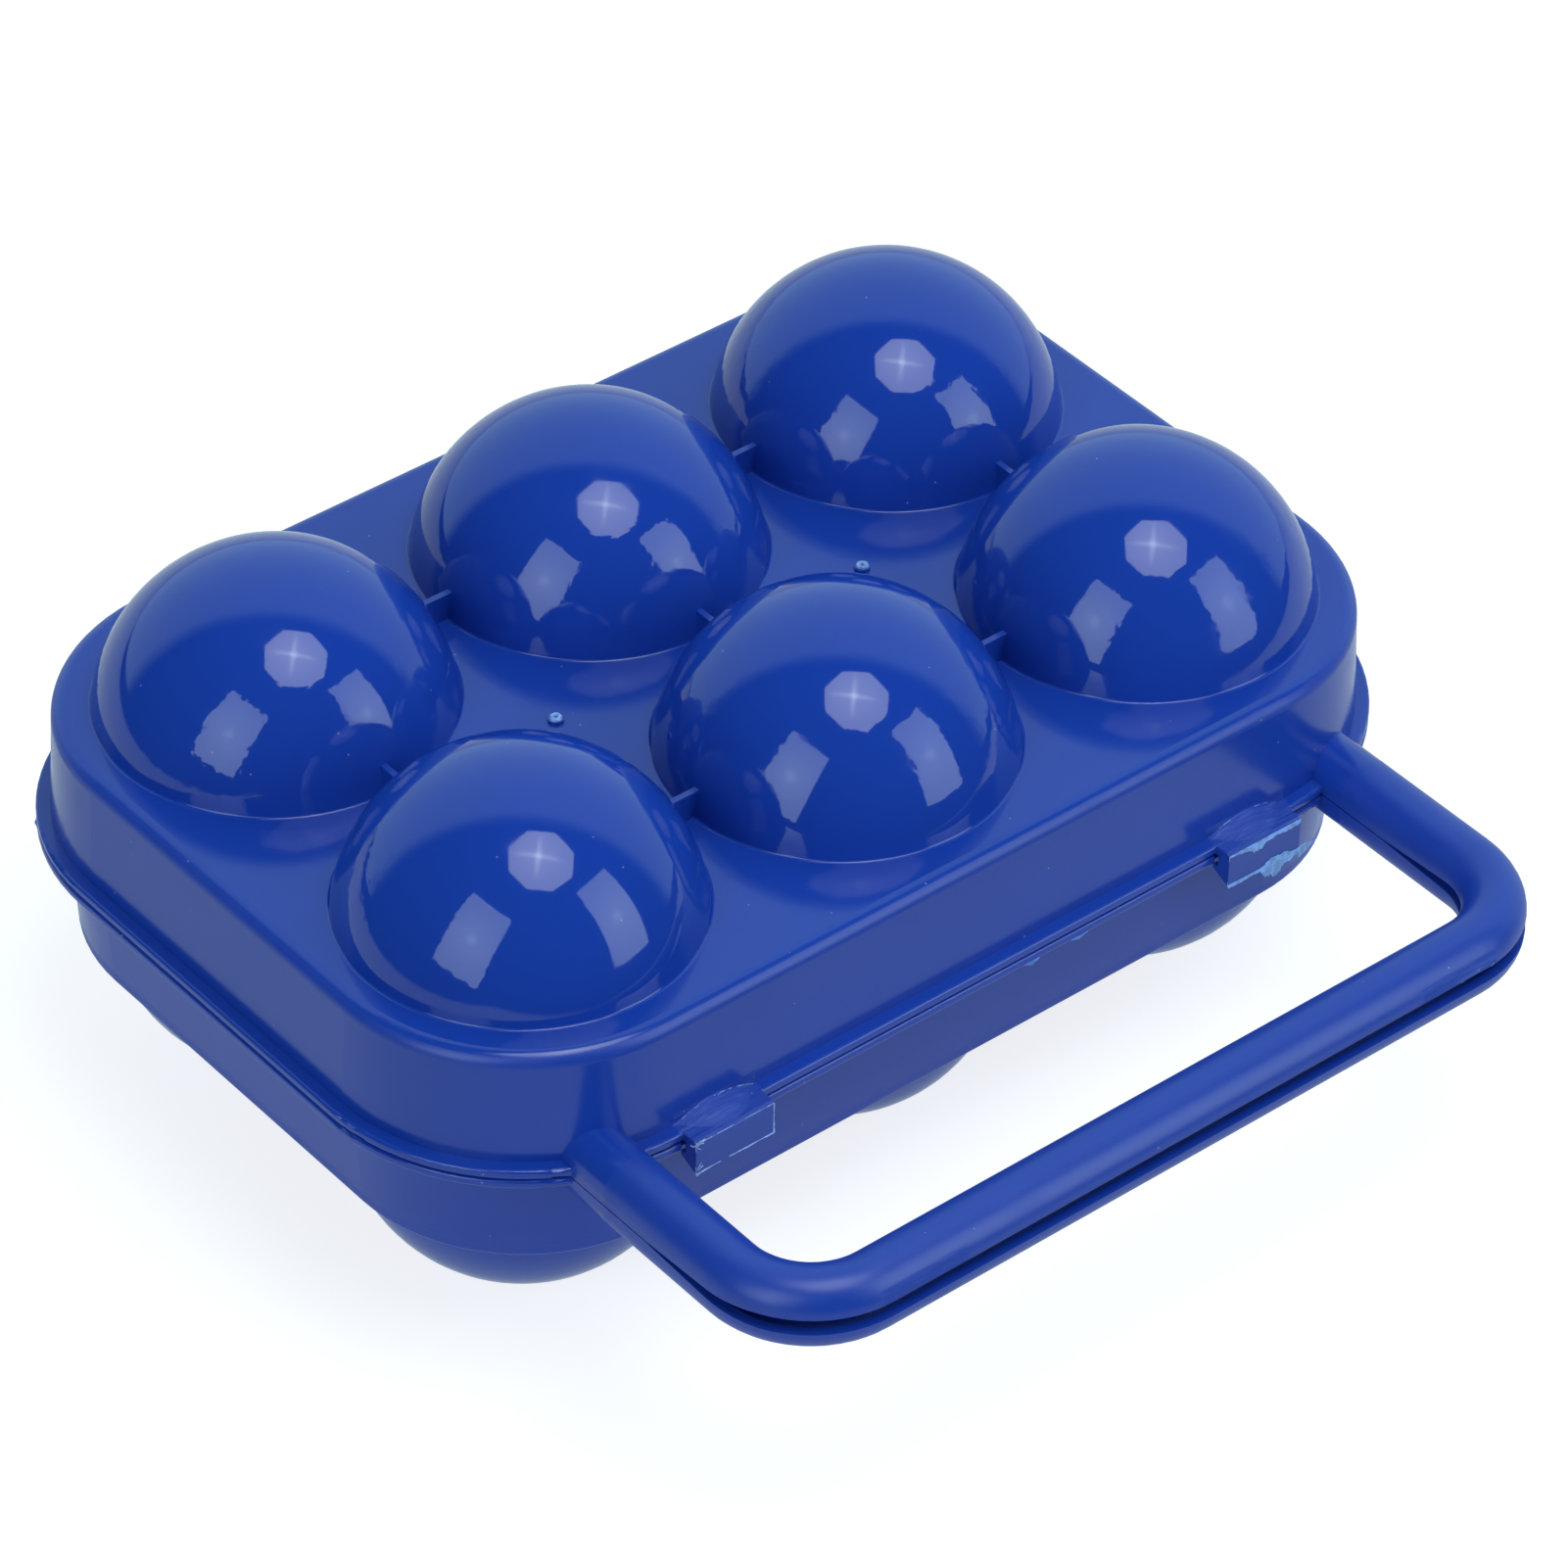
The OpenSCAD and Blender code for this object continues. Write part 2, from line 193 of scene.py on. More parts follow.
def moulded_polypropylene(name, blue, finish, form, plate_z, up):
    """Injection-moulded polypropylene: an even deep blue under a clear gloss. The domes come from a polished
    part of the mould and show the lamps as sharp shapes, with wavy outlines low on the domes where the polish
    is uneven; plates and walls are a little duller, and the handle and the lid's rounded edge are satin, so
    lamps blur to soft bands there. Above the latches the mould was milled by hand, which leaves dull streaks
    along the box. A few specks of dust lie on the gloss. Up is 1 where the domes point up and -1 where they
    point down."""
    material, tree = new_material(name)
    place = node(tree, "ShaderNodeTexCoord", give="Object")
    x, y, z = node(tree, "ShaderNodeSeparateXYZ", {0: place}).node.outputs
    height = node(tree, "ShaderNodeMath", {0: z, 1: up, 2: -up * plate_z}, operation="MULTIPLY_ADD")
    # Each pattern's size in millimetres, its detail and its harshness
    patterns = ((20, 3, 0.5), (9, 6, 0.62), (4, 1, 0.5), (0.35, 2, 0.5), (2.4, 2, 0.5))
    clouds, smears, ripple, grain, sinks = (
        node(tree, "ShaderNodeTexNoise",
             {"Vector": place, "Scale": 1 / (width * MM), "Detail": detail, "Roughness": harshness})
        for width, detail, harshness in patterns)
    motes = node(tree, "ShaderNodeTexVoronoi", {"Vector": place, "Scale": 1 / (4.5 * MM)})
    stretched = node(tree, "ShaderNodeMapping", {
        "Vector": place, "Rotation": (0, 0, math.radians(4)),
        "Scale": (1 / (7 * MM), 1 / (0.5 * MM), 1 / (0.5 * MM))})
    streaks = node(tree, "ShaderNodeTexNoise", {"Vector": stretched, "Scale": 1.0, "Detail": 3.0})

    aside = x
    for operation, value in (("ABSOLUTE", 0.0), ("SUBTRACT", form.latch_x), ("ABSOLUTE", 0.0)):
        aside = node(tree, "ShaderNodeMath", {0: aside, 1: value}, operation=operation)
    ragged = node(tree, "ShaderNodeMath", {0: smears, 1: 3 * MM, 2: aside}, operation="MULTIPLY_ADD")
    brim_z = form.parting_z + form.flange_t
    above_latch = (
        (ragged, form.latch_w / 2 + 2.3 * MM, form.latch_w / 2 + 1.3 * MM),
        (y, form.front_y + 2.1 * MM, form.front_y + 1.9 * MM),
        (z, brim_z - 0.5 * MM, brim_z - 0.1 * MM),
        (z, brim_z + form.swell_h + 0.5 * MM, brim_z + form.swell_h))
    latch = mask(tree, *above_latch)
    low_on_domes = mask(tree, (height, 0.5 * MM, 2 * MM), (height, 18 * MM, 13 * MM))
    uneven = mask(tree, (clouds, 0.38, 0.6), most=low_on_domes)

    colour = rgba(blue, 0.96)
    for share, shade in (
            (clouds, rgba(blue, 1.06)),
            (mask(tree, (motes, 0.035, 0.015), most=0.6), rgba(finish.dust)),
            (mask(tree, (streaks, 0.5, 0.72), *above_latch, most=0.16), rgba(finish.scraped_blue))):
        colour = node(tree, "ShaderNodeMix", {0: share, 6: colour, 7: shade}, data_type="RGBA")

    at_handle, at_box = form.front_y - 3.2 * MM, form.front_y - 2.6 * MM
    edge_foot, wall_top = -1.6 * MM, -2.4 * MM
    below_edge = (height, edge_foot, wall_top)
    rough = finish.polish
    for share, extra in (
            (mask(tree, (height, 0.5 * MM, 0.1 * MM)), finish.dull),
            (mask(tree, (height, -0.05 * MM, -0.7 * MM), (height, wall_top, edge_foot)), finish.satin),
            (mask(tree, below_edge, (y, at_handle, at_box)), finish.plain),
            (mask(tree, below_edge, (y, at_box, at_handle)), finish.worn),
            (mask(tree, (smears, 0.5, 0.8)), finish.smear),
            (latch, finish.scrape)):
        rough = node(tree, "ShaderNodeMath", {0: share, 1: extra, 2: rough}, operation="MULTIPLY_ADD")

    # Each bump's pattern, its strength and its depth in millimetres
    normal = None
    for heights, strength, depth in (
            (ripple, 1.0, 0.004), (grain, 1.0, 0.0006), (sinks, uneven, 0.06), (streaks, latch, 0.25)):
        normal = node(tree, "ShaderNodeBump", {
            "Height": heights, "Strength": strength, "Distance": depth * MM, "Normal": normal})
    shader = node(tree, "ShaderNodeBsdfPrincipled", {
        "Base Color": colour, "Roughness": rough, "IOR": 1.49, "Normal": normal})
    node(tree, "ShaderNodeOutputMaterial", {"Surface": shader})
    return material


def torn_polypropylene(name, blue, dull):
    """Thin flash and torn edges of the same plastic: paler, because light passes through and the torn
    surface scatters it, and uneven from point to point."""
    material, tree = new_material(name)
    place = node(tree, "ShaderNodeTexCoord", give="Object")
    patches = node(tree, "ShaderNodeTexNoise", {"Vector": place, "Scale": 1 / (0.9 * MM), "Detail": 4.0})
    depth = mask(tree, (patches, 0.35, 0.65))
    colour = node(tree, "ShaderNodeMix", {0: depth, 6: rgba(blue, 0.6), 7: rgba(blue)}, data_type="RGBA")
    bump = node(tree, "ShaderNodeBump", {"Height": patches, "Distance": 0.06 * MM})
    shader = node(tree, "ShaderNodeBsdfPrincipled", {
        "Base Color": colour, "Roughness": dull, "IOR": 1.49, "Normal": bump})
    node(tree, "ShaderNodeOutputMaterial", {"Surface": shader})
    return material


def add_piece(name, mesh, material, body):
    """Makes a mesh a finished piece that rides on a body and takes the plastic it is given."""
    cleaner = bmesh.new()
    cleaner.from_mesh(mesh)
    bmesh.ops.remove_doubles(cleaner, verts=cleaner.verts, dist=0.002 * MM)
    bmesh.ops.recalc_face_normals(cleaner, faces=cleaner.faces)
    for face in cleaner.faces:
        face.smooth = True
    cleaner.to_mesh(mesh)
    cleaner.free()
    mesh.set_sharp_from_angle(angle=math.radians(40))
    mesh.materials.clear()
    mesh.materials.append(material)
    piece = bpy.data.objects.new(name, mesh)
    bpy.context.scene.collection.objects.link(piece)
    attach(piece, body)


def made_by(tree, inputs, name):
    """The plain mesh that a Geometry Nodes tree makes. Inputs maps the names of its inputs to values."""
    holder = bpy.data.objects.new(name + "_holder", bpy.data.meshes.new(name + "_holder"))
    bpy.context.scene.collection.objects.link(holder)
    modifier = holder.modifiers.new("shape", "NODES")
    modifier.node_group = tree
    for item in tree.interface.items_tree:
        if item.in_out == "INPUT" and item.name in inputs:
            modifier[item.identifier] = inputs[item.name]
    bpy.context.view_layer.update()
    shown = holder.evaluated_get(bpy.context.evaluated_depsgraph_get())
    mesh = bpy.data.meshes.new_from_object(shown)
    mesh.name = name
    bpy.data.objects.remove(holder)
    return mesh


class EGGBOX_OT_mouldings(bpy.types.Operator):
    """Gives the lid and the base their finish"""
    bl_idname = "eggbox.mouldings"
    bl_label = "Lid and base"

    def execute(self, context):
        form, finish = context.scene.egg_box_form, context.scene.egg_box_finish
        for name, blue, plate_z, up in (("lid", finish.lid_blue, form.plate_z, 1),
                                        ("base", finish.base_blue, form.base_plate_z, -1)):
            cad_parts[name].material_slots[0].material = moulded_polypropylene(
                name + "_polypropylene", blue, finish, form, plate_z, up)
        return {"FINISHED"}


def fillet_tree(material):
    """Rings with a concave section, one at the foot of each dome. The section is an arc that touches plate
    and dome, and is closed over a corner inside the moulding. Curve to Mesh turns its y downward."""
    tree = bpy.data.node_groups.new("foot_fillets", "GeometryNodeTree")
    for name in ("Pitch", "Middle Y", "Plate Z", "Ring Radius", "Fillet Radius", "Sweep", "Up"):
        tree.interface.new_socket(name, in_out="INPUT", socket_type="NodeSocketFloat")
    tree.interface.new_socket("Geometry", in_out="OUTPUT", socket_type="NodeSocketGeometry")
    asked = node(tree, "NodeGroupInput").node.outputs
    radius = asked["Fillet Radius"]
    steps = 7
    loop = node(tree, "GeometryNodeCurvePrimitiveCircle", {"Resolution": steps + 2})
    index = node(tree, "GeometryNodeInputIndex")
    part = node(tree, "ShaderNodeMath", {0: index, 1: -1 / steps}, operation="MULTIPLY")
    angle = node(tree, "ShaderNodeMath", {0: part, 1: asked["Sweep"], 2: -math.pi / 2},
                 operation="MULTIPLY_ADD")
    across = node(tree, "ShaderNodeMath", {0: angle}, operation="COSINE")
    rise = node(tree, "ShaderNodeMath", {0: angle}, operation="SINE")
    lowered = node(tree, "ShaderNodeMath", {0: rise, 1: -1.0, 2: -1.0}, operation="MULTIPLY_ADD")
    on_arc = node(tree, "ShaderNodeCombineXYZ", {0: across, 1: lowered})
    corner = node(tree, "ShaderNodeMath", {0: index, 1: steps + 0.5}, operation="GREATER_THAN")
    point = node(tree, "ShaderNodeMix", {0: corner, 4: on_arc, 5: (-1.6, 0.6, 0)}, data_type="VECTOR")
    upright = node(tree, "ShaderNodeCombineXYZ", {0: 1.0, 1: asked["Up"], 2: 1.0})
    turned = node(tree, "ShaderNodeVectorMath", {0: point, 1: upright}, operation="MULTIPLY")
    scaled = node(tree, "ShaderNodeVectorMath", {0: turned, "Scale": radius}, operation="SCALE")
    section = node(tree, "GeometryNodeSetPosition", {"Geometry": loop, "Position": scaled})
    circle = node(tree, "GeometryNodeCurvePrimitiveCircle", {
        "Resolution": 96, "Radius": asked["Ring Radius"]})
    ring = node(tree, "GeometryNodeCurveToMesh", {"Curve": circle, "Profile Curve": section})
    span = node(tree, "ShaderNodeMath", {0: asked["Pitch"], 1: 2.0}, operation="MULTIPLY")
    feet = node(tree, "GeometryNodeMeshGrid", {
        "Size X": span, "Size Y": asked["Pitch"], "Vertices X": 3, "Vertices Y": 2})
    middle = node(tree, "ShaderNodeCombineXYZ", {1: asked["Middle Y"], 2: asked["Plate Z"]})
    placed = node(tree, "GeometryNodeTransform", {"Geometry": feet, "Translation": middle})
    rings = node(tree, "GeometryNodeInstanceOnPoints", {"Points": placed, "Instance": ring})
    real = node(tree, "GeometryNodeRealizeInstances", {"Geometry": rings})
    painted = node(tree, "GeometryNodeSetMaterial", {"Geometry": real, "Material": material})
    node(tree, "NodeGroupOutput", {0: painted})
    return tree


class EGGBOX_OT_foot_fillets(bpy.types.Operator):
    """Rounds the crease at the foot of each cap and each cup"""
    bl_idname = "eggbox.foot_fillets"
    bl_label = "Foot fillets"

    def execute(self, context):
        form = context.scene.egg_box_form
        for body, plate_z, ball_r, sink, up in (
                ("lid", form.plate_z, form.cap_r, form.cap_sink, 1.0),
                ("base", form.base_plate_z, form.cup_r, form.cup_lift, -1.0)):
            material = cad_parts[body].material_slots[0].material
            reach, drop = ball_r + form.fillet_r, form.fillet_r + sink
            ring_r = math.sqrt(reach ** 2 - drop ** 2)
            sweep = math.atan2(ring_r, drop)
            inputs = {"Pitch": form.cup_pitch, "Middle Y": form.body_y, "Plate Z": plate_z, "Up": up,
                      "Ring Radius": ring_r, "Fillet Radius": form.fillet_r, "Sweep": sweep}
            mesh = made_by(fillet_tree(material), inputs, body + "_foot_fillets")
            add_piece(body + "_foot_fillets", mesh, material, body)
        return {"FINISHED"}


def broken_ring_tree(material):
    """The broken end of a gate: a low ring of torn plastic on each moulding mark."""
    tree = bpy.data.node_groups.new("gate_rings", "GeometryNodeTree")
    for name in ("Pitch", "Middle Y", "Top Z", "Ring Radius", "Bead Radius"):
        tree.interface.new_socket(name, in_out="INPUT", socket_type="NodeSocketFloat")
    tree.interface.new_socket("Geometry", in_out="OUTPUT", socket_type="NodeSocketGeometry")
    asked = node(tree, "NodeGroupInput").node.outputs
    circle, section = (
        node(tree, "GeometryNodeCurvePrimitiveCircle", {"Resolution": corners, "Radius": radius})
        for corners, radius in ((40, asked["Ring Radius"]), (10, asked["Bead Radius"])))
    ring = node(tree, "GeometryNodeCurveToMesh", {"Curve": circle, "Profile Curve": section})
    apart = node(tree, "ShaderNodeCombineXYZ", {0: asked["Pitch"]})
    feet = node(tree, "GeometryNodeMeshLine", {"Count": 2, "Offset": apart})
    left = node(tree, "ShaderNodeMath", {0: asked["Pitch"], 1: -0.5}, operation="MULTIPLY")
    start = node(tree, "ShaderNodeCombineXYZ", {0: left, 1: asked["Middle Y"], 2: asked["Top Z"]})
    placed = node(tree, "GeometryNodeTransform", {"Geometry": feet, "Translation": start})
    rings = node(tree, "GeometryNodeInstanceOnPoints", {"Points": placed, "Instance": ring})
    real = node(tree, "GeometryNodeRealizeInstances", {"Geometry": rings})
    lumps = node(tree, "ShaderNodeTexNoise", {"Scale": 1 / (0.5 * MM), "Detail": 2.0}, give="Color")
    centred = node(tree, "ShaderNodeVectorMath", {0: lumps, 1: (0.5, 0.5, 0.5)}, operation="SUBTRACT")
    shift = node(tree, "ShaderNodeVectorMath", {0: centred, "Scale": 0.22 * MM}, operation="SCALE")
    torn = node(tree, "GeometryNodeSetPosition", {"Geometry": real, "Offset": shift})
    painted = node(tree, "GeometryNodeSetMaterial", {"Geometry": torn, "Material": material})
    node(tree, "NodeGroupOutput", {0: painted})
    return tree


class EGGBOX_OT_gate_rings(bpy.types.Operator):
    """Adds the pale torn rings where the runners broke off between the cups"""
    bl_idname = "eggbox.gate_rings"
    bl_label = "Gate rings"

    def execute(self, context):
        form, finish = context.scene.egg_box_form, context.scene.egg_box_finish
        for body, top_z in (("lid", form.plate_z + form.gate_h), ("base", form.base_plate_z - form.gate_h)):
            material = torn_polypropylene(body + "_torn_gate_polypropylene", finish.gate_blue, 0.4)
            inputs = {"Pitch": form.cup_pitch, "Middle Y": form.body_y, "Top Z": top_z,
                      "Ring Radius": form.gate_ring_r, "Bead Radius": form.gate_bead_r}
            mesh = made_by(broken_ring_tree(material), inputs, body + "_gate_rings")
            add_piece(body + "_gate_rings", mesh, material, body)
        return {"FINISHED"}


def between(stops, t):
    """The value at t along a list of (t, value) stops, with straight lines between them."""
    for (t0, v0), (t1, v1) in zip(stops, stops[1:]):
        if t <= t1:
            return v0 + (v1 - v0) * (t - t0) / (t1 - t0)
    return stops[-1][1]


def loft(bm, sections):
    """Joins a row of four-cornered sections to one closed strip."""
    if len(sections) < 2:
        return
    rings = [[bm.verts.new(point) for point in section] for section in sections]
    for a, b in zip(rings, rings[1:]):
        for k in range(4):
            bm.faces.new((a[k], a[(k + 1) % 4], b[(k + 1) % 4], b[k]))
    bm.faces.new(rings[0])
    bm.faces.new(list(reversed(rings[-1])))


def ragged_film(bm, path, grow, widths, lift=0.0, thick=0.16 * MM, seed=0.0):
    """Adds a ragged film of plastic along an edge. Path gives the edge's point at t from 0 to 1, grow the
    direction that the film stands in, widths its width in millimetres as (t, width) stops, and lift bends its
    free edge sideways. Where the width falls to nothing the film stops."""
    step, coarse_lump, fine_lump, thinnest = 0.12 * MM, 0.9 * MM, 0.25 * MM, 0.03 * MM
    length = sum((path((i + 1) / 20) - path(i / 20)).length for i in range(20))
    count = max(8, round(length / step))
    stretch = []
    for i in range(count + 1):
        t = i / count
        foot, way = path(t), grow.normalized()
        along = (path(min(1, t + 0.01)) - path(max(0, t - 0.01))).normalized()
        side = along.cross(way).normalized()
        coarse = noise.noise(Vector((t * length / coarse_lump, seed, 0.5)))
        fine = noise.noise(Vector((t * length / fine_lump, seed, 7.5)))
        width = between(widths, t) * MM * (1 + 0.45 * coarse + 0.3 * fine)
        if width > thinnest:
            tip = foot + way * width + side * lift * width * (1 + coarse)
            stretch.append((foot - side * thick / 2 - way * thick, foot + side * thick / 2 - way * thick,
                            tip + side * thick / 5, tip - side * thick / 5))
        else:
            loft(bm, stretch)
            stretch = []
    loft(bm, stretch)


def straight(start, end):
    """The path of a straight edge between two points."""
    return lambda t: Vector(start).lerp(Vector(end), t)


class EGGBOX_OT_flash(bpy.types.Operator):
    """Adds the ragged flash and the bruised edges on the latches, the flanges and the handle"""
    bl_idname = "eggbox.flash"
    bl_label = "Flash and bruised edges"

    def execute(self, context):
        form, finish = context.scene.egg_box_form, context.scene.egg_box_finish
        thin = torn_polypropylene("lid_flash_polypropylene", finish.thin_blue, 0.3)
        low = torn_polypropylene("base_flash_polypropylene", finish.film_blue, 0.3)
        chalk = torn_polypropylene("lid_bruised_polypropylene", finish.chalk_blue, 0.5)
        for name, make, material, body in (
                ("latch_flash", self.latch_flash, thin, "lid"),
                ("latch_bruises", self.latch_bruises, chalk, "lid"),
                ("grip_nicks", self.grip_nicks, thin, "lid"),
                ("flange_flash", self.flange_flash, low, "base")):
            film = bmesh.new()
            make(form, film)
            mesh = bpy.data.meshes.new(name)
            film.to_mesh(mesh)
            film.free()
            add_piece(name, mesh, material, body)
        return {"FINISHED"}

    def tongue_corners(self, form, side):
        """The left and right ends, front face, top edge and foot of one tongue."""
        middle = side * form.latch_x
        half = form.latch_w / 2
        return (middle - half, middle + half, form.front_y - form.latch_proud,
                form.parting_z + form.flange_t - 0.3 * MM, form.parting_z - form.latch_foot)

    def swell_outline(self, form, side):
        """The path along which the swelling above a tongue meets the lid's wall."""
        half, rise = form.latch_w / 2, form.swell_h
        radius = (half * half + rise * rise) / (2 * rise)
        wall_y, foot_z = form.front_y + 1.85 * MM, form.parting_z + form.flange_t

        def path(t):
            x = (2 * t - 1) * half
            over = rise - radius + math.sqrt(radius * radius - x * x)
            return Vector((side * form.latch_x + x, wall_y, foot_z + over))

        return path

    def latch_flash(self, form, film):
        """The right tongue's mould left a film along its top edge and its foot, and past its right end."""
        left, right, front, top, foot = self.tongue_corners(form, 1)
        skin = front - 0.07 * MM
        up, down = Vector((0, 0, 1)), Vector((0, 0, -1))
        top_edge = straight((left, skin, top), (right, skin, top))
        ragged_film(film, top_edge, down,
                    [(0, 0.1), (0.12, 0.2), (0.26, 0.5), (0.32, 1.2), (0.46, 1.3), (0.52, 0.5), (0.75, 0.55),
                     (0.86, 0.8), (1, 0.4)], seed=3.1)
        foot_edge = straight((left, skin, foot), (right, skin, foot))
        ragged_film(film, foot_edge, down,
                    [(0, 0.3), (0.1, 0.35), (0.44, 0.3), (0.5, 1.3), (0.62, 1.9), (0.8, 1.2), (0.93, 0.6),
                     (1, 0.9)], lift=-0.1, seed=5.7)
        right_half = straight((left + 0.45 * form.latch_w, skin, foot), (right, skin, foot))
        ragged_film(film, right_half, up, [(0, 0.3), (0.25, 0.9), (0.6, 0.8), (0.8, 0.3), (1, 0.1)], seed=9.2)
        right_end = straight((right, skin, foot - 1.5 * MM), (right, skin, foot + 0.2 * MM))
        ragged_film(film, right_end, Vector((1, 0, 0.1)), [(0, 1.2), (0.35, 2.9), (0.7, 2.4), (1, 0.5)],
                    lift=0.1, seed=1.4)

    def latch_bruises(self, form, film):
        """The left tongue's edges have gone pale where it has been levered open, most at its corners, and so
        have the outline of the swelling above it and two edges of the right tongue."""
        left, right, front, top, foot = self.tongue_corners(form, -1)
        out, down, sideways = Vector((0, -1, 0)), Vector((0, 0, -1)), Vector((1, 0, 0))
        upward = Vector((0, -0.5, 1))
        edges = (
            ((left, front, top), (right, front, top), out - down,
             [(0, 0.2), (0.12, 0.08), (0.25, 0), (0.3, 0.08), (0.45, 0.1), (0.5, 0), (0.6, 0), (0.65, 0.1),
              (0.8, 0.08), (0.85, 0), (1, 0.08)]),
            ((left, front, foot), (right, front, foot), out + down,
             [(0, 0.3), (0.1, 0.12), (0.3, 0.07), (0.35, 0), (0.4, 0), (0.45, 0.08), (0.7, 0.1), (0.8, 0.05),
              (1, 0.13)]),
            ((right, front, top), (right, front, foot), out + sideways,
             [(0, 0.08), (0.5, 0.07), (1, 0.14)]),
            ((left, front, top), (left, front, foot), out - sideways,
             [(0, 0.4), (0.15, 0.1), (0.3, 0), (0.7, 0), (0.85, 0.1), (1, 0.35)]))
        for i, (start, end, way, widths) in enumerate(edges):
            ragged_film(film, straight(start, end), way, widths, thick=0.1 * MM, seed=11 + i)

        # Each scar's start from the tongue's top left corner, its turn in radians and its length
        scars = ((-0.2, -0.2, 0.2, 1.7), (0, 0.1, -0.35, 1.3), (0.1, -0.5, -0.8, 1.0), (0, -0.35, 0.6, 1.0),
                 (-0.3, -0.2, 2.4, 0.7), (0.2, -4.1, 0.9, 1.0), (0.1, -4.3, 0.3, 1.1), (0.6, -4.4, 1.7, 0.7))
        for i, (x, z, turn, length) in enumerate(scars):
            start = Vector((left + x * MM, front - 0.02 * MM, top + z * MM))
            end = start + Vector((math.cos(turn), 0, math.sin(turn))) * length * MM
            ragged_film(film, straight(start, end), out, [(0, 0.1), (0.5, 0.16), (1, 0.05)],
                        thick=0.13 * MM, seed=21 + i)

        for i in range(3):
            drop = Vector((0, -0.1, -0.28 * i)) * MM
            widths = [(t / 24, 0.26 * noise.noise(Vector((t * 1.7, 3 * i, 0.5)))) for t in range(20 - 3 * i)]
            ragged_film(film, lambda t: self.swell_outline(form, -1)(t) + drop, upward, widths,
                        thick=0.1 * MM, seed=31 + i)
        widths = [(t / 20, 0.16 * noise.noise(Vector((t * 1.7, 9, 0.5)))) for t in range(18)]
        ragged_film(film, self.swell_outline(form, 1), upward, widths, thick=0.08 * MM, seed=35)

        left, right, front, top, foot = self.tongue_corners(form, 1)
        ragged_film(film, straight((left, front, top), (left, front, foot)), out - sideways,
                    [(0, 0.2), (0.12, 0.05), (0.2, 0), (0.8, 0), (0.88, 0.06), (1, 0.2)],
                    thick=0.1 * MM, seed=37)
        foot_edge = straight((left, front, foot), (left + 0.35 * form.latch_w, front, foot))
        ragged_film(film, foot_edge, out + down, [(0, 0.2), (0.3, 0.08), (1, 0.06)],
                    thick=0.1 * MM, seed=39)

    def grip_nicks(self, form, film):
        """The edge of the slit in the grip has a few small nicks near its right end."""
        edge_y, edge_z = form.grip_y - form.grip_r + 0.12 * MM, form.parting_z + form.slit_half
        start_x, end_x = 24 * MM, 51 * MM
        ragged_film(film, straight((start_x, edge_y, edge_z), (end_x, edge_y, edge_z)), Vector((0, -0.1, -1)),
                    [(0, 0), (0.1, 0), (0.12, 0.1), (0.14, 0), (0.7, 0), (0.74, 0.08), (0.78, 0.16), (0.8, 0),
                     (0.94, 0), (0.96, 0.14), (0.98, 0), (1, 0)], seed=51)

    def flange_flash(self, form, film):
        """Thin flash hangs from the base's flange at the front, and stands out at its back left corner."""
        under = form.parting_z - form.parting_gap - form.flange_t + 0.2 * MM
        front = form.front_y - 0.02 * MM
        by_latch = form.latch_x - form.latch_w / 2 - 1 * MM
        ragged_film(film, straight((0, front, under), (by_latch, front, under)), Vector((0, -0.1, -1)),
                    [(0, 0), (0.13, 0), (0.155, 0.15), (0.17, 0.75), (0.19, 0.3), (0.21, 0), (0.35, 0),
                     (0.37, 0.15), (0.39, 0.5), (0.42, 0.1), (0.44, 0), (1, 0)], seed=31)
        middle = Vector((form.corner_r - form.flange_x, 2 * form.body_y - form.front_y - form.corner_r,
                         form.parting_z - form.parting_gap - 0.5 * MM))

        def corner(t):
            turn = math.radians(112 + 46 * t)
            return middle + Vector((math.cos(turn), math.sin(turn), 0)) * (form.corner_r - 0.05 * MM)

        ragged_film(film, corner, Vector((-0.8, 0.6, 0)),
                    [(0, 0), (0.12, 0.1), (0.18, 0.5), (0.36, 0.45), (0.4, 0), (0.48, 0), (0.52, 0.4),
                     (0.57, 0), (0.74, 0), (0.79, 0.25), (0.84, 0), (1, 0)], thick=0.22 * MM, seed=41)


